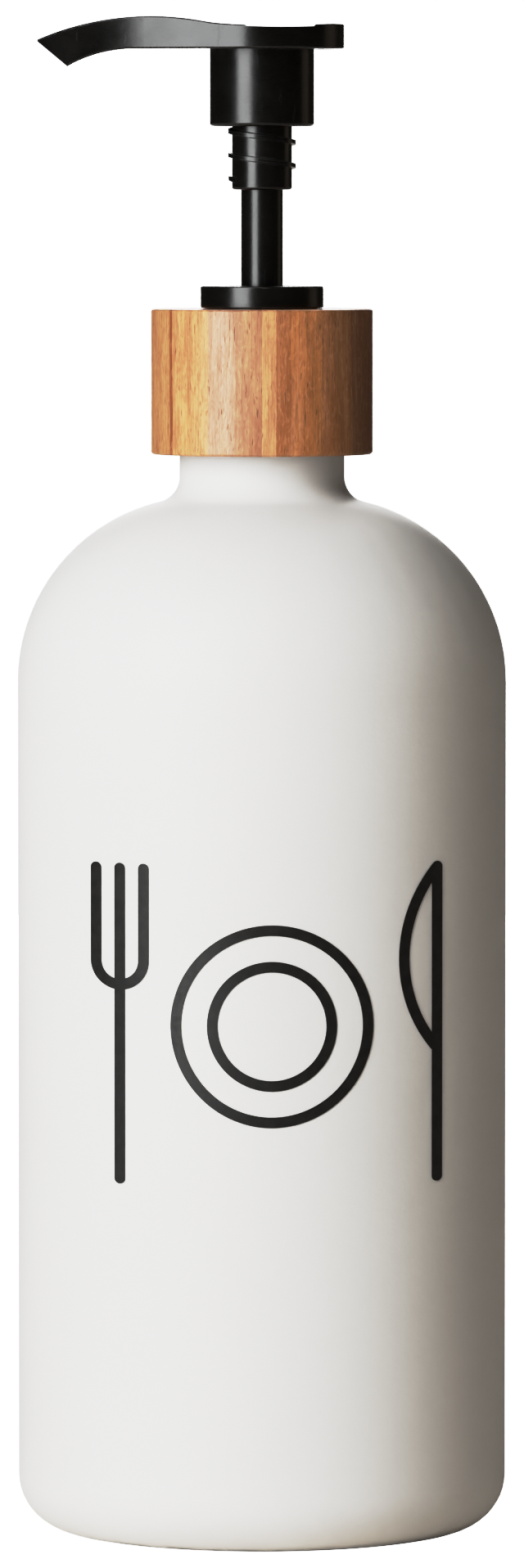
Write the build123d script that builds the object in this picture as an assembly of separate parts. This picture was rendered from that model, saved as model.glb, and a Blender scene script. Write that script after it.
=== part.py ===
"""Soap pump dispenser: a coated glass bottle with a wood-sleeved screw cap and a lock-down lotion pump.

Frame: +Z up, origin on the bottle's axis at the plane that the base ring stands on, spout towards -X,
printed mark towards -Y. Millimetres. Everything is shown at rest, with the pump head up.
"""

import math
import os

from build123d import *

# ---- driving dimensions -------------------------------------------------------------------------
# bottle, with a 28-400 neck finish: 25.3 mm across the thread's root and 6 threads to the inch
BODY_RADIUS = 37.5
WALL = 2.6
HEEL_RADIUS = 8.5
SHOULDER_START = 130.7
SHOULDER_RADIUS = 28.3
NECK_RADIUS = 12.65
NECK_FILLET = 4.0
LIP_TOP = 182.2
NECK_PITCH = 25.4 / 6
NECK_CREST_RADIUS = 13.75

# wood-sleeved cap
COLLAR_RADIUS = 17.0
COLLAR_BOTTOM = 165.6
COLLAR_TOP = 187.9
COLLAR_TOP_THICKNESS = 1.7
CAP_RADIUS = 15.2
CAP_PLATE = 1.4
CAP_HOLE_RADIUS = 8.9
CAP_BORE = 14.0
CAP_THREAD_CREST = 12.95
CAP_THREAD_DROP = 1.65  # how far the cap's ridge sits below the bottle's

# printed mark, measured on the flat drawing
MARK_STROKE = 1.6
MARK_THICKNESS = 0.12
MARK_MIDDLE = 80.5
MARK_HEIGHT = 47.0

# pump housing
GASKET_THICKNESS = 1.2
FLANGE_THICKNESS = 1.35
FLANGE_RADIUS = 12.75
TURN_GAP = 0.05  # the cap turns freely between the flange and the lock ring
CYLINDER_BORE = 6.5
CYLINDER_RADIUS = 7.6
SPRING_SHELF = 131.0
SEAT_TOP = 124.6
SEAT_BOTTOM = 122.6
INLET_RADIUS = 1.6
CHAMBER_RADIUS = 3.0
SOCKET_TOP = 120.5
SOCKET_BOTTOM = 110.5
SOCKET_RADIUS = 3.9
BALL_RADIUS = 2.38
DIP_TUBE_RADIUS = 2.5
DIP_TUBE_BORE = 1.8
DIP_TUBE_BOTTOM = 8.0

# lock ring
LOCK_RING_RADIUS = 9.45
LOCK_RING_HEIGHT = 3.4
LOCK_PITCH = 3.6
LOCK_ANGLE = 180.0  # both lock threads start on the spout's side
RING_BORE = 5.5
GUIDE_THICKNESS = 1.8

# moving parts
STEM_RADIUS = 3.2
STEM_TOP = 221.0
RUNNING_FIT = 0.08
CONTACT_GAP = 0.02
VALVE_SLIP = 1.2  # the stem moves this far before it takes the piston with it
ROD_RADIUS = 2.35
SEAL_RADIUS = CYLINDER_BORE - 0.06
WIRE = 0.9
SPRING_RADIUS = 4.6

# pump head; the pairs are (x, z) on its side outline
SPIGOT_RADIUS = 4.6
SPIGOT_CREST_RADIUS = 5.2
SPIGOT_BOTTOM = 206.1
SKIRT_RADIUS = 8.0
SKIRT_WALL = 1.3
SKIRT_BOTTOM = 215.8
PLATE_BOTTOM = 227.6
PLATE_TOP = 231.45
PLATE_RADIUS = 12.6
SPOUT_TIP = (-34.5, 228.9)
SPOUT_LIP = (-29.7, 224.9)
SPOUT_CREST = (-18.0, 232.55)
CREST_END = (-9.0, 231.8)
DISH_FRONT = (-2.6, 231.2)
DISH_REAR = (8.2, 231.3)
DISH_BOTTOM = 230.9
TOUCH_ANGLE = 21.5  # between each side of the spout and its middle line, where the side leaves the plate
WAIST_ANGLE = 14.0  # and the same at the waist
WAIST = -18.0
THROAT = -25.5  # the spout's sides are parallel from its mouth to here
TOP_EDGE = 0.25
LOWER_EDGE = 0.3
CHANNEL_RADIUS = 1.35
CORING = 1.7

# ---- heights that follow ------------------------------------------------------------------------
FLANGE_BOTTOM = LIP_TOP + GASKET_THICKNESS
FLANGE_TOP = FLANGE_BOTTOM + FLANGE_THICKNESS
CAP_PLATE_BOTTOM = FLANGE_TOP + TURN_GAP
CAP_TOP = CAP_PLATE_BOTTOM + CAP_PLATE
RING_BOTTOM = COLLAR_TOP + 2 * TURN_GAP
RING_TOP = RING_BOTTOM + LOCK_RING_HEIGHT
NECK_THREAD_TOP = LIP_TOP - 2.4
GUIDE_BOTTOM = FLANGE_TOP - 7.0
SNAP_HEIGHT = FLANGE_TOP - 3.0
VENT_HEIGHT = GUIDE_BOTTOM - 4.4
PISTON_TOP = GUIDE_BOTTOM - VALVE_SLIP - 0.3
HUB_TOP = PISTON_TOP - 0.8
HUB_BOTTOM = HUB_TOP - 8.0
ROD_TOP = HUB_TOP + VALVE_SLIP + 13.0
SPRING_TOP = HUB_BOTTOM - 1.6


# ---- helpers ------------------------------------------------------------------------------------
def at(r, z):
    """Point in the half-plane that is turned about the axis."""
    return Vector(r, 0, z)


def arc(centre, radius, start, end):
    """Arc in that half-plane about centre, from one angle to another, in degrees from +X."""
    def point(angle):
        turn = math.radians(angle)
        return at(centre[0] + radius * math.cos(turn), centre[1] + radius * math.sin(turn))

    return ThreePointArc(point(start), point((start + end) / 2), point(end))


def line(start, end):
    return Line(at(*start), at(*end))


def turned(*points):
    """Solid of revolution about Z from the corners (r, z) of its section."""
    return revolve(Face(Wire.make_polygon([at(*p) for p in points], close=True)), Axis.Z)


def turned_edges(*edges):
    """Solid of revolution about Z from the edges of its section."""
    return revolve(Face(Wire(edges)), Axis.Z)


def rod(radius, bottom, top):
    return Pos(0, 0, bottom) * extrude(Circle(radius), top - bottom)


def tube(outer, inner, bottom, top):
    return rod(outer, bottom, top) - rod(inner, bottom, top)


def rounded(solid, radius, *heights):
    """Rounds the outermost circular edge at each height."""
    for height in heights:
        circles = solid.edges().filter_by(GeomType.CIRCLE).filter_by_position(Axis.Z, height, height)
        solid = fillet(circles.sort_by(lambda e: e.radius)[-1], radius)
    return solid


def thread_ridge(root, crest, pitch, top, turns, base, tip, start_angle=0.0, hand=1, fade=60.0):
    """Helical ridge from root radius to crest radius, running down from height top.

    base and tip are its axial widths. hand is 1 for a right-hand thread and -1 for a left-hand one.
    It fades to nothing over the last degrees at each end. It reaches a little past its root, into
    the wall that carries it.
    """
    sunk = 0.25 * (1 if crest > root else -1)
    steps = round(turns * 360 / 20)
    sections = []
    for i in range(steps + 1):
        down = turns * 360 * i / steps
        share = min(1.0, down / fade, (turns * 360 - down) / fade)
        grown = 0.12 + 0.88 * math.sin(share * math.pi / 2)
        reach = root + (crest - root) * grown
        centre = top - pitch * down / 360
        corners = [
            (root - sunk, centre - base / 2),
            (reach, centre - tip / 2 - (base - tip) / 2 * (1 - grown)),
            (reach, centre + tip / 2 + (base - tip) / 2 * (1 - grown)),
            (root - sunk, centre + base / 2),
        ]
        face = Face(Wire.make_polygon([at(*c) for c in corners], close=True))
        sections.append(Rot(0, 0, start_angle - hand * down) * face)
    return loft(sections)


# ---- bottle -------------------------------------------------------------------------------------
def bottle_section(inset, bottom, heel, top, ring, push_up):
    """Edges of the bottle's outline moved inwards by inset, from the axis at the base to the top."""
    side = BODY_RADIUS - inset
    shoulder = (BODY_RADIUS - SHOULDER_RADIUS, SHOULDER_START)
    blend = (NECK_RADIUS + NECK_FILLET, 0)
    reach = SHOULDER_RADIUS + NECK_FILLET
    blend_height = SHOULDER_START + math.sqrt(reach**2 - (blend[0] - shoulder[0]) ** 2)
    blend = (blend[0], blend_height)
    meet = math.degrees(math.atan2(blend[1] - shoulder[1], blend[0] - shoulder[0]))
    neck = NECK_RADIUS - inset
    dome = ThreePointArc(
        at(0, bottom + push_up), at(ring / 2, bottom + 0.77 * push_up), at(ring, bottom)
    )
    return [
        dome,
        line((ring, bottom), (side - heel, bottom)),
        arc((side - heel, bottom + heel), heel, -90, 0),
        line((side, bottom + heel), (side, SHOULDER_START)),
        arc(shoulder, SHOULDER_RADIUS - inset, 0, meet),
        arc(blend, NECK_FILLET + inset, 180 + meet, 180),
        line((neck, blend_height), (neck, top)),
    ]


def bottle():
    floor = 4.6
    lip_round = 0.9
    outside = turned_edges(
        *bottle_section(0, 0, HEEL_RADIUS, LIP_TOP - lip_round, 22.0, 2.2),
        arc((NECK_RADIUS - lip_round, LIP_TOP - lip_round), lip_round, 0, 90),
        line((NECK_RADIUS - lip_round, LIP_TOP), (0, LIP_TOP)),
        line((0, LIP_TOP), (0, 2.2)),
    )
    inside = turned_edges(
        *bottle_section(WALL, floor, HEEL_RADIUS - WALL, LIP_TOP + 1, 20.0, 1.8),
        line((NECK_RADIUS - WALL, LIP_TOP + 1), (0, LIP_TOP + 1)),
        line((0, LIP_TOP + 1), (0, floor + 1.8)),
    )
    thread = thread_ridge(
        NECK_RADIUS, NECK_CREST_RADIUS, NECK_PITCH, NECK_THREAD_TOP, 1.5, 2.3, 1.1
    )
    return outside - inside + thread


# ---- front mark ---------------------------------------------------------------------------------
def stroke(*points):
    """Round-ended strokes that join the points, in the plane of the mark."""
    drawn = Sketch()
    for a, b in zip(points, points[1:]):
        run = Vector(*b) - Vector(*a)
        slot = SlotCenterToCenter(run.length, MARK_STROKE)
        middle = (Vector(*a) + Vector(*b)) * 0.5
        turn = math.degrees(math.atan2(run.Y, run.X))
        drawn += Pos(middle.X, middle.Y) * Rot(0, 0, turn) * slot
    return drawn


def fork_mark(x):
    half = MARK_HEIGHT / 2
    gap = 3.6
    root = half - 14.0
    drawn = stroke((x, -half), (x, half)) + stroke((x - gap, root), (x - gap, half))
    drawn += stroke((x + gap, root), (x + gap, half))
    return drawn + SlotArc(ThreePointArc((x - gap, root), (x, root - gap), (x + gap, root)), MARK_STROKE)


def plate_mark(x):
    drawn = Sketch()
    for radius in (14.5, 9.0):
        drawn += Circle(radius + MARK_STROKE / 2) - Circle(radius - MARK_STROKE / 2)
    return Pos(x, 0) * drawn


def knife_mark(x):
    half = MARK_HEIGHT / 2
    heel = -4.0
    belly = (x - 5.0, (half + heel) / 2 - 1.0)
    edge = ThreePointArc((x, half), belly, (x, heel))
    return stroke((x, -half), (x, half)) + SlotArc(edge, MARK_STROKE)


def front_mark():
    """Thin printed line drawing of a fork, a plate and a knife, wrapped on the front of the bottle."""
    drawn = fork_mark(-21.5) + plate_mark(1.5) + knife_mark(26.5)
    prism = Plane(origin=(0, 0, MARK_MIDDLE), x_dir=(1, 0, 0), z_dir=(0, -1, 0)) * extrude(
        drawn, BODY_RADIUS + 5
    )
    skin = tube(
        BODY_RADIUS + MARK_THICKNESS, BODY_RADIUS,
        MARK_MIDDLE - MARK_HEIGHT, MARK_MIDDLE + MARK_HEIGHT,
    )
    return skin & prism


# ---- cap ----------------------------------------------------------------------------------------
def wood_collar():
    """Turned wood cup that covers the cap."""
    inner_top = COLLAR_TOP - COLLAR_TOP_THICKNESS
    cup = rod(COLLAR_RADIUS, COLLAR_BOTTOM, COLLAR_TOP)
    cup = rounded(cup, 0.45, COLLAR_BOTTOM, COLLAR_TOP)
    cup -= rod(CAP_RADIUS, COLLAR_BOTTOM - 1, inner_top)
    return cup - rod(CAP_HOLE_RADIUS, inner_top - 1, COLLAR_TOP + 1)


def screw_cap():
    """Threaded plastic liner of the collar."""
    bottom = COLLAR_BOTTOM + 1.0
    cap = turned(
        (CAP_RADIUS, bottom),
        (CAP_RADIUS, CAP_TOP),
        (CAP_HOLE_RADIUS, CAP_TOP),
        (CAP_HOLE_RADIUS, CAP_PLATE_BOTTOM),
        (CAP_BORE, CAP_PLATE_BOTTOM),
        (CAP_BORE, bottom + 0.6),
        (CAP_BORE + 0.6, bottom),
    )
    ridge = thread_ridge(
        CAP_BORE, CAP_THREAD_CREST, NECK_PITCH, NECK_THREAD_TOP - CAP_THREAD_DROP, 1.25, 1.8, 0.8
    )
    return cap + ridge


# ---- pump body ----------------------------------------------------------------------------------
def lock_ring():
    """Top disc of the pump, with a left-hand lock thread, a plug in the cylinder and the stem's guide."""
    neck = CAP_HOLE_RADIUS - 0.5
    plug = CYLINDER_BORE - 0.05
    ring = turned_edges(
        line((0, GUIDE_BOTTOM), (plug - 0.4, GUIDE_BOTTOM)),
        line((plug - 0.4, GUIDE_BOTTOM), (plug, GUIDE_BOTTOM + 0.6)),
        line((plug, GUIDE_BOTTOM + 0.6), (plug, SNAP_HEIGHT - 0.4)),
        ThreePointArc(
            at(plug, SNAP_HEIGHT - 0.4), at(plug + 0.25, SNAP_HEIGHT), at(plug, SNAP_HEIGHT + 0.4)
        ),
        line((plug, SNAP_HEIGHT + 0.4), (plug, FLANGE_TOP)),
        line((plug, FLANGE_TOP), (neck, FLANGE_TOP)),
        line((neck, FLANGE_TOP), (neck, RING_BOTTOM)),
        line((neck, RING_BOTTOM), (LOCK_RING_RADIUS - 0.2, RING_BOTTOM)),
        line((LOCK_RING_RADIUS - 0.2, RING_BOTTOM), (LOCK_RING_RADIUS, RING_BOTTOM + 0.2)),
        line((LOCK_RING_RADIUS, RING_BOTTOM + 0.2), (LOCK_RING_RADIUS, RING_TOP - 0.3)),
        arc((LOCK_RING_RADIUS - 0.3, RING_TOP - 0.3), 0.3, 0, 90),
        line((LOCK_RING_RADIUS - 0.3, RING_TOP), (0, RING_TOP)),
        line((0, RING_TOP), (0, GUIDE_BOTTOM)),
    )
    bore = turned(
        (0, RING_TOP + 1),
        (RING_BORE + 0.5, RING_TOP + 1),
        (RING_BORE + 0.5, RING_TOP),
        (RING_BORE, RING_TOP - 0.5),
        (RING_BORE, GUIDE_BOTTOM + GUIDE_THICKNESS),
        (0, GUIDE_BOTTOM + GUIDE_THICKNESS),
    )
    ring = ring - bore - rod(STEM_RADIUS + RUNNING_FIT, GUIDE_BOTTOM - 1, RING_TOP)
    ridge = thread_ridge(
        RING_BORE, 4.85, LOCK_PITCH, RING_TOP - 1.4, 1.75, 1.0, 0.6, LOCK_ANGLE, hand=-1
    )
    return ring + ridge


def pump_cylinder():
    """Pump housing: flange, barrel, ball chamber with its conical seat, and dip tube socket."""
    shelf_outside = SPRING_SHELF - 1.4
    body = turned(
        (0, FLANGE_TOP),
        (FLANGE_RADIUS, FLANGE_TOP),
        (FLANGE_RADIUS, FLANGE_BOTTOM),
        (CYLINDER_RADIUS, FLANGE_BOTTOM),
        (CYLINDER_RADIUS, shelf_outside),
        (5.0, shelf_outside - 3.4),
        (4.6, SOCKET_TOP + 1.4),
        (SOCKET_RADIUS, SOCKET_TOP - 0.4),
        (SOCKET_RADIUS, SOCKET_BOTTOM),
        (0, SOCKET_BOTTOM),
    )
    hollow = turned(
        (0, FLANGE_TOP + 1),
        (CYLINDER_BORE, FLANGE_TOP + 1),
        (CYLINDER_BORE, SPRING_SHELF),
        (CHAMBER_RADIUS, SPRING_SHELF),
        (CHAMBER_RADIUS, SEAT_TOP),
        (INLET_RADIUS, SEAT_BOTTOM),
        (INLET_RADIUS, SOCKET_TOP),
        (DIP_TUBE_RADIUS, SOCKET_TOP),
        (DIP_TUBE_RADIUS, SOCKET_BOTTOM + 0.5),
        (DIP_TUBE_RADIUS + 0.4, SOCKET_BOTTOM - 1),
        (0, SOCKET_BOTTOM - 1),
    )
    groove = Pos(0, 0, SNAP_HEIGHT) * Torus(CYLINDER_BORE - 0.3, 0.65)
    body = body - hollow - (groove & tube(7.2, 6.0, SNAP_HEIGHT - 1, SNAP_HEIGHT + 1))
    for turn in range(4):  # stops that keep the ball in its chamber
        stop = Pos(2.75, 0, SEAT_TOP + 3.5) * Box(1.1, 0.9, 0.9)
        body += Rot(0, 0, 45 + 90 * turn) * (stop - rod(2.2, SEAT_TOP, SPRING_SHELF))
    for turn in range(6):  # ribs that carry the flange
        rib = turned_rib(CYLINDER_RADIUS - 0.2, 9.6, FLANGE_BOTTOM - 7.0, FLANGE_BOTTOM + 0.2, 0.9)
        body += Rot(0, 0, 60 * turn) * rib
    vent = Plane(origin=(0, 0, VENT_HEIGHT), z_dir=(0, 1, 0)) * rod(0.6, 0, 20)
    return body - vent


def turned_rib(inner, outer, bottom, top, thickness):
    """Triangular web in the XZ plane, from the barrel out to the flange."""
    outline = Wire.make_polygon([at(inner, bottom), at(inner, top), at(outer, top), at(outer, top - 0.8)])
    return Pos(0, thickness / 2, 0) * extrude(Face(outline), thickness, dir=(0, -1, 0))


def neck_gasket():
    return tube(12.9, CYLINDER_RADIUS + 2.2, LIP_TOP, FLANGE_BOTTOM)


def dip_tube():
    """Suction tube, cut on the slant at its lower end so that the floor can't close it."""
    straw = tube(DIP_TUBE_RADIUS, DIP_TUBE_BORE, DIP_TUBE_BOTTOM, SOCKET_TOP)
    below = Box(20, 20, 6, align=(Align.CENTER, Align.CENTER, Align.MAX))
    return straw - Pos(0, 0, DIP_TUBE_BOTTOM) * Rot(0, 35, 0) * below


def inlet_ball():
    """Ball of the inlet valve, resting on the conical seat."""
    slope = math.atan2(CHAMBER_RADIUS - INLET_RADIUS, SEAT_TOP - SEAT_BOTTOM)
    apex = SEAT_BOTTOM - INLET_RADIUS / math.tan(slope)
    return Pos(0, 0, apex + (BALL_RADIUS + 0.01) / math.sin(slope)) * Sphere(BALL_RADIUS)


# ---- moving parts -------------------------------------------------------------------------------
def piston():
    """Double-lipped piston that slides on the valve rod and wipes the cylinder."""
    hub_bore = ROD_RADIUS + RUNNING_FIT
    hub = 3.5
    web = HUB_BOTTOM + 3.4
    return turned(
        (hub_bore, HUB_BOTTOM),
        (hub_bore, HUB_TOP),
        (hub, HUB_TOP),
        (hub + 0.2, web + 1.6),
        (5.0, web + 1.6),
        (SEAL_RADIUS - 0.5, PISTON_TOP),
        (SEAL_RADIUS, PISTON_TOP),
        (SEAL_RADIUS, PISTON_TOP - 0.8),
        (SEAL_RADIUS - 0.5, web + 2.0),
        (SEAL_RADIUS - 0.5, web - 1.4),
        (SEAL_RADIUS, HUB_BOTTOM + 0.4),
        (SEAL_RADIUS, HUB_BOTTOM - 0.3),
        (SEAL_RADIUS - 0.5, HUB_BOTTOM - 0.3),
        (4.8, web),
        (hub, web),
        (hub - 0.4, HUB_BOTTOM),
    )


def valve_rod():
    """Hollow rod pressed into the stem: its collar shuts the piston's hub, and four ports open below it."""
    collar = 4.0
    bottom = SPRING_TOP - 3.0
    shaft = turned(
        (0, bottom),
        (2.6, bottom),
        (SPRING_RADIUS - WIRE / 2 - 0.35, bottom + 0.8),
        (SPRING_RADIUS - WIRE / 2 - 0.35, SPRING_TOP),
        (SPRING_RADIUS + WIRE / 2, SPRING_TOP),
        (SPRING_RADIUS + WIRE / 2, SPRING_TOP + 0.7),
        (collar, HUB_BOTTOM - CONTACT_GAP),
        (ROD_RADIUS, HUB_BOTTOM - CONTACT_GAP),
        (ROD_RADIUS, ROD_TOP - 0.4),
        (ROD_RADIUS - 0.3, ROD_TOP),
        (0, ROD_TOP),
    )
    shaft -= rod(1.25, HUB_BOTTOM + 0.2, ROD_TOP + 1)
    for turn in (0, 90):
        port = Pos(0, 0, HUB_BOTTOM + 0.7) * Rot(0, 90, 0) * Cylinder(0.45, 2 * ROD_RADIUS + 1)
        shaft -= Rot(0, 0, turn) * port
    return shaft


def return_spring():
    """Compression spring with closed ends, wound as one wire."""
    coils = 9.0
    height = SPRING_TOP - SPRING_SHELF - WIRE
    start = SPRING_SHELF + WIRE / 2
    closed = 1.02 * WIRE
    open_height = height - 2 * closed
    pieces = [(1.0, closed), (coils - 2, open_height), (1.0, closed)]
    bottom = start
    runs = []
    for turns, rise in pieces:
        runs.append(Pos(0, 0, bottom) * Helix(rise / turns, rise, SPRING_RADIUS))
        bottom += rise
    path = Wire(Wire(runs).edges())
    section = Plane(origin=path @ 0, z_dir=path % 0) * Circle(WIRE / 2)
    return sweep(section, path=path, is_frenet=True, transition=Transition.ROUND)


def stem():
    """Black shaft between the head and the valve rod."""
    bottom = HUB_TOP + VALVE_SLIP + CONTACT_GAP
    shaft = rounded(rod(STEM_RADIUS, bottom, STEM_TOP), 0.25, bottom)
    return shaft - rod(ROD_RADIUS, bottom - 1, ROD_TOP) - rod(1.7, ROD_TOP, STEM_TOP + 1)


# ---- pump head ----------------------------------------------------------------------------------
def head_plate():
    """Thumb plate and spout: a side outline carried across, cut to the plan outline."""
    droop = -19.5
    crest = ThreePointArc(at(*SPOUT_TIP), at(*SPOUT_CREST), at(*CREST_END))
    middle = ((DISH_FRONT[0] + DISH_REAR[0]) / 2, DISH_BOTTOM + 0.15)
    saddle = Spline(
        at(*CREST_END), at(*DISH_FRONT), at(*middle), at(PLATE_RADIUS, PLATE_TOP),
        tangents=(crest % 1, Vector(1, 0, 0)),
    )
    side = Wire(
        [
            crest,
            saddle,
            line((PLATE_RADIUS, PLATE_TOP), (PLATE_RADIUS, PLATE_BOTTOM)),
            line((PLATE_RADIUS, PLATE_BOTTOM), (droop, PLATE_BOTTOM)),
            TangentArc(at(droop, PLATE_BOTTOM), at(*SPOUT_LIP), tangent=(-1, 0, 0)),
            line(SPOUT_LIP, SPOUT_TIP),
        ]
    )
    slab = extrude(Face(side), PLATE_RADIUS + 4, both=True)
    prism = Pos(0, 0, PLATE_BOTTOM - 10) * extrude(plan_outline(), 30, dir=(0, 0, 1))
    return slab & prism


def thumb_dish():
    """Shallow recess across the plate, a little deeper in its middle."""
    run = 0.3
    front = (DISH_FRONT[0] + run, DISH_BOTTOM + 0.1)
    rear = (DISH_REAR[0] - run, DISH_BOTTOM + 0.1)
    above = DISH_BOTTOM + 2
    outline = [
        ThreePointArc(at(*front), at((front[0] + rear[0]) / 2, DISH_BOTTOM), at(*rear)),
        line(rear, DISH_REAR),
        line(DISH_REAR, (DISH_REAR[0] + run, above)),
        line((DISH_REAR[0] + run, above), (DISH_FRONT[0] - run, above)),
        line((DISH_FRONT[0] - run, above), DISH_FRONT),
        line(DISH_FRONT, front),
    ]
    return extrude(Face(Wire(outline)), PLATE_RADIUS + 4, both=True)


def plan_outline():
    """Outline from above: a round plate whose sides sweep in two easy bends to a parallel spout."""
    touch_angle, waist_angle = math.radians(TOUCH_ANGLE), math.radians(WAIST_ANGLE)
    touch = (-PLATE_RADIUS * math.sin(touch_angle), PLATE_RADIUS * math.cos(touch_angle))
    sweep_radius = (touch[0] - WAIST) / (math.sin(touch_angle) - math.sin(waist_angle))
    waist = (WAIST, touch[1] - sweep_radius * (math.cos(waist_angle) - math.cos(touch_angle)))
    throat_radius = (WAIST - THROAT) / math.sin(waist_angle)
    throat = (THROAT, waist[1] - throat_radius * (1 - math.cos(waist_angle)))
    mouth = (SPOUT_TIP[0] - 2, throat[1])
    half = make_face(
        [
            Line(mouth, throat),
            TangentArc(throat, waist, tangent=(1, 0)),
            TangentArc(waist, touch, tangent=(math.cos(waist_angle), math.sin(waist_angle))),
            ThreePointArc(touch, (0, PLATE_RADIUS), (PLATE_RADIUS, 0)),
            Line((PLATE_RADIUS, 0), (mouth[0], 0)),
            Line((mouth[0], 0), mouth),
        ]
    )
    return half + mirror(half, Plane.XZ)


def coring():
    """Hollow under the plate, round the skirt, that keeps the moulding's wall even."""
    wall = 1.4
    reach = rod(PLATE_RADIUS - wall, PLATE_BOTTOM - 1, PLATE_BOTTOM + CORING)
    reach -= rod(SKIRT_RADIUS + 0.8, PLATE_BOTTOM - 2, PLATE_BOTTOM + 2)
    spout_side = Pos(-PLATE_RADIUS, 0, PLATE_BOTTOM) * Box(2 * PLATE_RADIUS - 4, 40, 10)
    ribs = Sketch()
    for turn in (0, 60, 120):
        ribs += Rot(0, 0, turn) * Rectangle(40, 1.0)
    return reach - spout_side - Pos(0, 0, PLATE_BOTTOM - 2) * extrude(ribs, 5)


def pump_head():
    """One-piece head: plate, spout, skirt and the threaded spigot that holds the stem."""
    plate = head_plate()
    plate = fillet(plate.edges().filter_by(outer_top_edge), TOP_EDGE)
    plate = fillet(plate.edges().filter_by(outer_lower_edge), LOWER_EDGE) - thumb_dish() - coring()
    skirt = tube(SKIRT_RADIUS, SKIRT_RADIUS - SKIRT_WALL, SKIRT_BOTTOM, PLATE_BOTTOM + 1)
    skirt = rounded(skirt, 0.5, SKIRT_BOTTOM)
    spigot = rounded(rod(SPIGOT_RADIUS, SPIGOT_BOTTOM, PLATE_BOTTOM + 1), 0.4, SPIGOT_BOTTOM)
    lead_in = 45.0  # degrees by which the ridge starts before the spout's side, inside the skirt
    run_out = 30.0
    ridge = thread_ridge(
        SPIGOT_RADIUS, SPIGOT_CREST_RADIUS, LOCK_PITCH,
        SKIRT_BOTTOM - 0.7 + LOCK_PITCH * lead_in / 360,
        2.0 + (lead_in + run_out) / 360,
        1.0, 0.6, LOCK_ANGLE - lead_in, hand=-1, fade=45.0,
    )
    head = plate + skirt + spigot + ridge
    head -= rod(STEM_RADIUS, SPIGOT_BOTTOM - 1, STEM_TOP)
    head -= rod(1.7, STEM_TOP - 1, 228.4)
    channel = ThreePointArc(at(0.6, 228.9), at(-16.0, 230.1), at(-33.6, 226.4))
    bore = Plane(origin=channel @ 0, z_dir=channel % 0) * Circle(CHANNEL_RADIUS)
    return head - sweep(bore, path=channel)


def outer_top_edge(edge):
    """True for an edge between the plate's or the spout's top and their sides, rear or mouth."""
    box = edge.bounding_box()
    across = box.size.X < 0.01 and box.min.X > SPOUT_TIP[0] + 1  # where two stretches of the top join
    return box.min.Z > SPOUT_TIP[1] - 0.1 and not across


def outer_lower_edge(edge):
    """True for an edge between the underside of the plate or the spout and their sides."""
    box = edge.bounding_box()
    across = box.size.X < 0.01
    return box.max.Z < PLATE_BOTTOM + 0.01 and box.min.X > SPOUT_TIP[0] + 1 and not across


# ---- export -------------------------------------------------------------------------------------
PARTS = {
    "bottle": bottle,
    "front_mark": front_mark,
    "wood_collar": wood_collar,
    "screw_cap": screw_cap,
    "lock_ring": lock_ring,
    "pump_cylinder": pump_cylinder,
    "neck_gasket": neck_gasket,
    "dip_tube": dip_tube,
    "inlet_ball": inlet_ball,
    "piston": piston,
    "valve_rod": valve_rod,
    "return_spring": return_spring,
    "stem": stem,
    "pump_head": pump_head,
}

if __name__ == "__main__":
    os.makedirs("parts", exist_ok=True)
    for name, make in PARTS.items():
        export_step(make(), f"parts/{name}.step")
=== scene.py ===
"""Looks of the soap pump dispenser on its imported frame: coated bottle, laminated wood collar, satin pump."""

import math

import bpy
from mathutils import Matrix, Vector


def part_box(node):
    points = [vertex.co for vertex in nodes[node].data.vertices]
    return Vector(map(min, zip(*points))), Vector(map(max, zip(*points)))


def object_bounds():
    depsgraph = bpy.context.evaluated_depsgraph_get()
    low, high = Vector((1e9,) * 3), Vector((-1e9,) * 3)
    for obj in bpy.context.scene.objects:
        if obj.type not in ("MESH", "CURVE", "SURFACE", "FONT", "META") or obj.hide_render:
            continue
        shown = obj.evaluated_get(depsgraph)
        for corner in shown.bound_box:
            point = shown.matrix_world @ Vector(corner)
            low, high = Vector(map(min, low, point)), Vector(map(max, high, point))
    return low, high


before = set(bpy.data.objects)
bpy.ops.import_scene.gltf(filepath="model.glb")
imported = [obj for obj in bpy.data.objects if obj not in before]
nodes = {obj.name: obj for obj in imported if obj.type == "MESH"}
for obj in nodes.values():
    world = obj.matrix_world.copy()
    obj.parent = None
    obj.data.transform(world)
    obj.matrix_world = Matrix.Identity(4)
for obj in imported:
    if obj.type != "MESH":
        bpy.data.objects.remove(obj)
cad_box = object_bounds()
low, high = (Vector(corner) for corner in cad_box)
height = high.z - low.z

ROOM_GLOW = 0.03  # strength of the room that lights and reflections see
SHEET_GLOW = 1.8  # strength of the background and floor that the camera sees, past white
WHITE = (1.0, 1.0, 1.0, 1.0)

# points of the display curve, as (light in, light out): steep in the mid tones and flat near white
TONE = [(0.2, 0.168), (0.29, 0.30), (0.41, 0.515), (0.53, 0.66), (0.7, 0.765), (1.0, 0.85)]

FLOOR_REACH = 120 * height
FLOOR_GAP = 0.00002  # keeps the floor out of the bottle's base
AIM_HEIGHT = low.z + 0.55 * height

CAMERA_DISTANCE = 1.583
CAMERA_HEIGHT = 0.2100
CAMERA_TILT = 3.44  # degrees below level
LENS = 236.7


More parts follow.
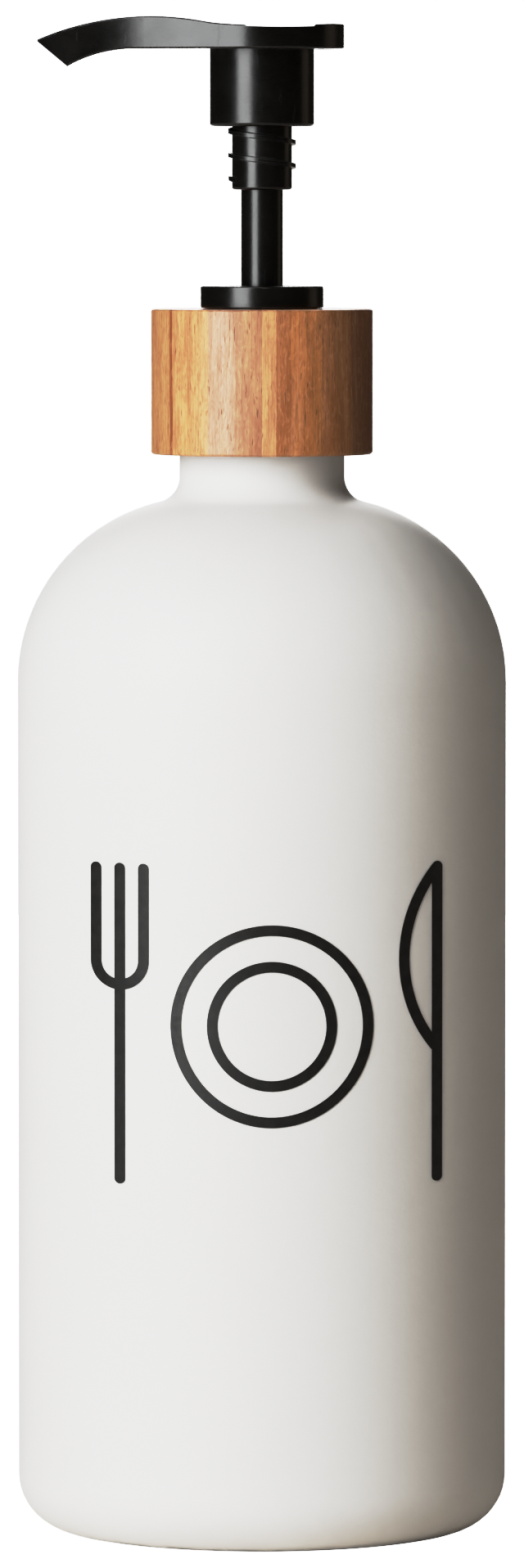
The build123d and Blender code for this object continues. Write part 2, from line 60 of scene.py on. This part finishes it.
# ---- node tree helpers --------------------------------------------------------------------------
class Surface:
    """One procedural material: a Principled shader and the nodes that feed it."""

    def __init__(self, name, **constants):
        self.material = bpy.data.materials.new(name)
        self.material.use_nodes = True
        self.tree = self.material.node_tree
        self.shader = self.tree.nodes["Principled BSDF"]
        self.place = self.node("TexCoord").outputs["Object"]
        for socket, value in constants.items():
            self.shader.inputs[socket.replace("_", " ")].default_value = value

    def node(self, kind, inputs=(), **settings):
        made = self.tree.nodes.new("ShaderNode" + kind)
        for key, value in settings.items():
            setattr(made, key, value)
        for key, value in dict(inputs).items():
            self.put(value, made.inputs[key])
        return made

    def put(self, value, socket):
        if isinstance(value, bpy.types.NodeSocket):
            self.tree.links.new(value, socket)
        else:
            socket.default_value = value

    def drive(self, socket, value):
        self.put(value, self.shader.inputs[socket])

    def math(self, operation, a, b=0.0, c=0.0):
        made = self.node("Math", operation=operation)
        for value, socket in zip((a, b, c), made.inputs):
            self.put(value, socket)
        return made.outputs[0]

    def stretched(self, scale):
        """The object's coordinates times a scale for each axis."""
        return self.node("Mapping", {"Vector": self.place, "Scale": scale}).outputs[0]

    def noise(self, scale=1.0, detail=3.0, where=None, roughness=0.5, distortion=0.0):
        inputs = {
            "Vector": self.place if where is None else where,
            "Scale": scale,
            "Detail": detail,
            "Roughness": roughness,
            "Distortion": distortion,
        }
        return self.node("TexNoise", inputs).outputs[0]

    def spread(self, value, from_low, from_high, to_low=0.0, to_high=1.0):
        """Maps a range of value to another, clamped."""
        made = self.node("MapRange")
        for socket, number in zip(made.inputs, (value, from_low, from_high, to_low, to_high)):
            self.put(number, socket)
        return made.outputs[0]

    def mix(self, share, a, b):
        """Colour a, with a share of colour b."""
        made = self.node("Mix", data_type="RGBA")
        for index, value in ((0, share), (6, a), (7, b)):
            self.put(value, made.inputs[index])
        return made.outputs[2]

    def bands(self, value, stops):
        """Flat bands of colour, from (value at which the band starts, colour) pairs."""
        made = self.node("ValToRGB", {0: value})
        made.color_ramp.interpolation = "CONSTANT"
        elements = made.color_ramp.elements
        while len(elements) < len(stops):
            elements.new(0.5)
        for element, (position, colour) in zip(elements, stops):
            element.position = position
            element.color = colour
        return made.outputs[0]

    def bump(self, heights):
        """Bump from (height value, depth in metres) pairs, finest last."""
        normal = None
        for value, depth in heights:
            made = self.node("Bump", {"Height": value, "Strength": 1.0, "Distance": depth})
            if normal is not None:
                self.put(normal, made.inputs["Normal"])
            normal = made.outputs[0]
        self.drive("Normal", normal)

    def edge_wear(self, radius):
        """0 on open faces, rising to 1 along edges that a bevel of this radius would turn."""
        open_face, worn_edge = 0.999, 0.90  # cosines of the angle by which the bevel turns the surface
        soft = self.node("Bevel", {"Radius": radius}, samples=6).outputs[0]
        hard = self.node("NewGeometry").outputs["Normal"]
        facing = self.node("VectorMath", {0: soft, 1: hard}, operation="DOT_PRODUCT").outputs["Value"]
        return self.spread(facing, open_face, worn_edge)


def rgb(r, g, b):
    return (r, g, b, 1.0)


# ---- materials ----------------------------------------------------------------------------------
def coated_glass():
    s = Surface("coated_glass", IOR=1.42, Diffuse_Roughness=0.12)
    cloud = s.noise(14.0, 4.0)
    mottle = s.noise(900.0, 2.0)
    colour = s.mix(s.spread(cloud, 0.3, 0.7), rgb(0.83, 0.83, 0.82), rgb(0.865, 0.865, 0.858))
    colour = s.mix(s.spread(mottle, 0.35, 0.75, 0.0, 0.05), colour, rgb(0.7, 0.7, 0.69))
    # the coat is rubbed through on the ring that the bottle stands on
    level = s.node("SeparateXYZ", {0: s.place}).outputs["Z"]
    foot = s.math("MULTIPLY", s.spread(level, 0.0009, 0.0001), s.spread(s.noise(260.0, 4.0), 0.42, 0.6))
    colour = s.mix(foot, colour, rgb(0.42, 0.43, 0.42))
    s.drive("Base Color", colour)
    rough = s.spread(s.noise(35.0, 3.0), 0.3, 0.7, 0.46, 0.56)
    s.drive("Roughness", s.math("MULTIPLY_ADD", foot, 0.25, rough))
    s.bump([(s.noise(60.0, 2.0), 0.00006), (s.noise(420.0, 2.0), 0.00003), (s.noise(2400.0, 1.0), 0.000008)])
    return s


def laminated_wood():
    """A block glued up from upright boards across X, turned round, in satin lacquer."""
    s = Surface("wood", Coat_Weight=0.22, Coat_Roughness=0.3, Coat_IOR=1.5)
    across = s.node("SeparateXYZ", {0: s.place}).outputs["X"]
    collar_low, collar_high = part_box("wood_collar")
    half = (collar_high.x - collar_low.x) / 2
    sway = s.noise(1.0, 3.0, s.stretched((150.0, 150.0, 45.0)))
    board = s.spread(s.math("ADD", across, s.spread(sway, 0.2, 0.8, -0.0003, 0.0003)), -half, half)
    # left edge of each board as a share of the collar's width; the narrow dark band is a joint
    boards = [
        (0.0, rgb(0.61, 0.355, 0.180)),
        (0.085, rgb(0.30, 0.120, 0.045)),
        (0.097, rgb(0.71, 0.385, 0.205)),
        (0.256, rgb(0.54, 0.315, 0.215)),
        (0.374, rgb(0.44, 0.245, 0.150)),
        (0.5, rgb(0.74, 0.415, 0.225)),
        (0.565, rgb(0.42, 0.200, 0.078)),
        (0.628, rgb(0.58, 0.290, 0.110)),
        (0.765, rgb(0.48, 0.220, 0.090)),
        (0.90, rgb(0.32, 0.130, 0.060)),
    ]
    colour = s.bands(board, boards)
    # growth rings running up the boards and wandering a little, with pale streaks between them
    rings = s.noise(560.0, 3.0, s.stretched((1.0, 1.0, 0.12)), 0.6, 0.8)
    colour = s.mix(s.spread(rings, 0.42, 0.66, 0.0, 0.40), colour, rgb(0.26, 0.110, 0.042))
    streaks = s.noise(380.0, 3.0, s.stretched((1.0, 1.0, 0.09)), 0.55, 0.3)
    colour = s.mix(s.spread(streaks, 0.5, 0.72, 0.0, 0.35), colour, rgb(0.82, 0.510, 0.300))
    # short slanting flecks, where the grain waves
    flecks = s.noise(1.0, 2.0, s.stretched((1500.0, 1500.0, 520.0)), 0.5, 1.6)
    colour = s.mix(s.spread(flecks, 0.52, 0.66, 0.0, 0.28), colour, rgb(0.29, 0.125, 0.052))
    colour = s.mix(s.spread(flecks, 0.46, 0.34, 0.0, 0.22), colour, rgb(0.84, 0.530, 0.310))
    # fibres and pores, thin and long
    fibre = s.noise(1.0, 4.0, s.stretched((3600.0, 3600.0, 130.0)), 0.7)
    colour = s.mix(s.spread(fibre, 0.42, 0.72, 0.0, 0.5), colour, rgb(0.25, 0.090, 0.032))
    pore = s.spread(s.noise(1.0, 1.0, s.stretched((5200.0, 5200.0, 520.0)), 0.4), 0.68, 0.74)
    colour = s.mix(s.math("MULTIPLY", pore, 0.6), colour, rgb(0.10, 0.035, 0.016))
    worn = s.edge_wear(0.0006)
    colour = s.mix(s.math("MULTIPLY", worn, 0.35), colour, rgb(0.74, 0.46, 0.24))
    s.drive("Base Color", colour)
    rough = s.spread(fibre, 0.3, 0.7, 0.36, 0.52)
    s.drive("Roughness", s.math("MULTIPLY_ADD", pore, 0.25, rough))
    s.bump([(rings, 0.00003), (fibre, 0.00002), (s.math("SUBTRACT", 1.0, pore), 0.00003)])
    return s


def black_plastic():
    s = Surface("black_plastic", IOR=1.49, Specular_IOR_Level=0.66)
    cloud = s.noise(90.0, 3.0)
    colour = s.mix(s.spread(cloud, 0.3, 0.7), rgb(0.0022, 0.0022, 0.0021), rgb(0.0042, 0.0042, 0.0041))
    scuff = s.spread(s.noise(1.0, 4.0, s.stretched((700.0, 900.0, 120.0)), 0.6), 0.62, 0.8)
    colour = s.mix(s.math("MULTIPLY", scuff, 0.25), colour, rgb(0.045, 0.045, 0.045))
    worn = s.math("MULTIPLY", s.edge_wear(0.00035), s.spread(s.noise(500.0, 3.0), 0.35, 0.65, 0.2, 1.0))
    colour = s.mix(s.math("MULTIPLY", worn, 0.55), colour, rgb(0.06, 0.06, 0.06))
    s.drive("Base Color", colour)
    rough = s.spread(s.noise(260.0, 3.0), 0.3, 0.7, 0.21, 0.27)
    s.drive("Roughness", s.math("MULTIPLY_ADD", scuff, 0.12, rough))
    s.bump([(s.noise(700.0, 2.0), 0.000012), (s.noise(5200.0, 2.0), 0.000004)])
    return s


def black_print():
    s = Surface("black_print", IOR=1.5)
    ink = s.noise(700.0, 3.0)
    colour = s.mix(s.spread(ink, 0.35, 0.7), rgb(0.006, 0.006, 0.006), rgb(0.014, 0.014, 0.014))
    s.drive("Base Color", colour)
    s.drive("Roughness", s.spread(s.noise(1500.0, 2.0), 0.3, 0.7, 0.38, 0.52))
    s.bump([(ink, 0.00001), (s.noise(3000.0, 1.0), 0.000006)])
    return s


def natural_plastic():
    s = Surface(
        "natural_plastic", IOR=1.49, Transmission_Weight=0.35, Subsurface_Weight=0.3, Subsurface_Scale=0.002
    )
    haze = s.noise(160.0, 3.0)
    s.drive("Base Color", s.mix(s.spread(haze, 0.3, 0.7), rgb(0.78, 0.78, 0.75), rgb(0.86, 0.86, 0.84)))
    s.drive("Roughness", s.spread(s.noise(500.0, 2.0), 0.3, 0.7, 0.3, 0.42))
    s.bump([(haze, 0.00002), (s.noise(2600.0, 2.0), 0.000005)])
    return s


def stainless():
    s = Surface("stainless", Metallic=1.0)
    drawn = s.noise(1.0, 3.0, s.stretched((900.0, 900.0, 3600.0)), 0.6)
    s.drive("Base Color", s.mix(s.spread(drawn, 0.3, 0.7), rgb(0.50, 0.49, 0.475), rgb(0.64, 0.635, 0.62)))
    s.drive("Roughness", s.spread(drawn, 0.3, 0.7, 0.18, 0.34))
    s.bump([(drawn, 0.000006)])
    return s


def foam():
    s = Surface("foam")
    cells = s.noise(1600.0, 3.0, roughness=0.7)
    s.drive("Base Color", s.mix(s.spread(cells, 0.35, 0.65), rgb(0.66, 0.66, 0.63), rgb(0.84, 0.84, 0.82)))
    s.drive("Roughness", s.spread(cells, 0.3, 0.7, 0.7, 0.9))
    s.bump([(cells, 0.00008)])
    return s


WEARS = {
    coated_glass: ["bottle"],
    laminated_wood: ["wood_collar"],
    black_plastic: ["screw_cap", "lock_ring", "stem", "pump_head"],
    black_print: ["front_mark"],
    natural_plastic: ["pump_cylinder", "dip_tube", "piston", "valve_rod"],
    stainless: ["return_spring", "inlet_ball"],
    foam: ["neck_gasket"],
}
for make, worn_by in WEARS.items():
    surface = make()
    for name in worn_by:
        for slot in nodes[name].material_slots:
            slot.material = surface.material


# ---- stage --------------------------------------------------------------------------------------
def floor():
    """Wide matt sheet, lit like a warm table but white to the camera, like the background."""
    s = Surface("floor")
    grain = s.noise(30.0, 3.0)
    s.drive("Base Color", s.mix(s.spread(grain, 0.3, 0.7), rgb(0.79, 0.735, 0.67), rgb(0.82, 0.765, 0.70)))
    s.drive("Roughness", s.spread(grain, 0.3, 0.7, 0.75, 0.85))
    s.drive("Emission Color", WHITE)
    seen = s.node("LightPath").outputs["Is Camera Ray"]
    s.drive("Emission Strength", s.math("MULTIPLY", seen, SHEET_GLOW))
    mesh = bpy.data.meshes.new("floor")
    corners = [(-1, -1), (1, -1), (1, 1), (-1, 1)]
    level = low.z - FLOOR_GAP
    mesh.from_pydata([(x * FLOOR_REACH, y * FLOOR_REACH, level) for x, y in corners], [], [(0, 1, 2, 3)])
    mesh.materials.append(s.material)
    made = bpy.data.objects.new("floor", mesh)
    bpy.context.collection.objects.link(made)


def backdrop():
    """White to the camera, and a dim warm room to everything else."""
    world = bpy.data.worlds.new("backdrop")
    world.use_nodes = True
    bpy.context.scene.world = world
    tree = world.node_tree
    room = tree.nodes["Background"]
    room.inputs["Color"].default_value = rgb(1.0, 0.85, 0.70)
    room.inputs["Strength"].default_value = ROOM_GLOW
    sheet = tree.nodes.new("ShaderNodeBackground")
    sheet.inputs["Color"].default_value = WHITE
    sheet.inputs["Strength"].default_value = SHEET_GLOW
    mixed = tree.nodes.new("ShaderNodeMixShader")
    tree.links.new(tree.nodes.new("ShaderNodeLightPath").outputs["Is Camera Ray"], mixed.inputs[0])
    tree.links.new(room.outputs[0], mixed.inputs[1])
    tree.links.new(sheet.outputs[0], mixed.inputs[2])
    tree.links.new(mixed.outputs[0], tree.nodes["World Output"].inputs["Surface"])


def softbox(name, bearing, distance, level, size, watts, colour=(1.0, 1.0, 1.0)):
    """Rectangular light aimed at the object. bearing is in degrees from the camera's side, left negative."""
    data = bpy.data.lights.new(name, "AREA")
    data.shape = "RECTANGLE"
    data.size, data.size_y = size
    data.energy = watts
    data.color = colour
    made = bpy.data.objects.new(name, data)
    turn = math.radians(bearing)
    made.location = (distance * math.sin(turn), -distance * math.cos(turn), level)
    toward = Vector((0.0, 0.0, AIM_HEIGHT)) - made.location
    made.rotation_euler = toward.to_track_quat("-Z", "Y").to_euler()
    bpy.context.collection.objects.link(made)
    return made


def studio():
    """A tall key on the left, a soft light above the camera, a weak edge and two lights for the rear."""
    key_white = (0.985, 0.995, 1.0)
    warm_white = (1.0, 0.95, 0.89)
    lamp = (1.0, 0.82, 0.64)
    softbox("key", bearing=-40, distance=1.3, level=0.45, size=(0.78, 1.3), watts=20.5, colour=key_white)
    softbox("high", bearing=-5, distance=1.0, level=1.25, size=(0.8, 0.8), watts=3.4, colour=warm_white)
    softbox("edge", bearing=112, distance=1.4, level=0.3, size=(0.6, 1.2), watts=0.5, colour=lamp)
    back = softbox("back", bearing=180, distance=1.3, level=0.12, size=(0.5, 1.0), watts=9.0)
    sheen = softbox("sheen", bearing=170, distance=1.0, level=1.3, size=(0.9, 0.9), watts=5.0)
    back.visible_camera = sheen.visible_camera = False
    sheen.visible_diffuse = False  # it only puts a reflection on the tops, seen from above


def camera():
    """A long lens in front, a little above the wood collar and looking slightly down."""
    data = bpy.data.cameras.new("camera")
    data.sensor_width = 36.0
    data.lens = LENS
    data.clip_start, data.clip_end = 0.1, 200.0
    made = bpy.data.objects.new("camera", data)
    made.location = (0.0, -CAMERA_DISTANCE, CAMERA_HEIGHT)
    made.rotation_euler = (math.radians(90.0 - CAMERA_TILT), 0.0, 0.0)
    bpy.context.collection.objects.link(made)
    bpy.context.scene.camera = made


def tone():
    """Plain display transform with the TONE curve on it, carried on in a straight line past its end."""
    view = bpy.context.scene.view_settings
    view.view_transform = "Standard"
    view.use_curve_mapping = True
    view.curve_mapping.extend = "EXTRAPOLATED"
    curve = view.curve_mapping.curves[3]  # the curve of all three colours together
    curve.points[1].location = TONE[-1]
    for x, y in TONE[:-1]:
        curve.points.new(x, y)
    view.curve_mapping.update()


floor()
backdrop()
studio()
camera()
tone()
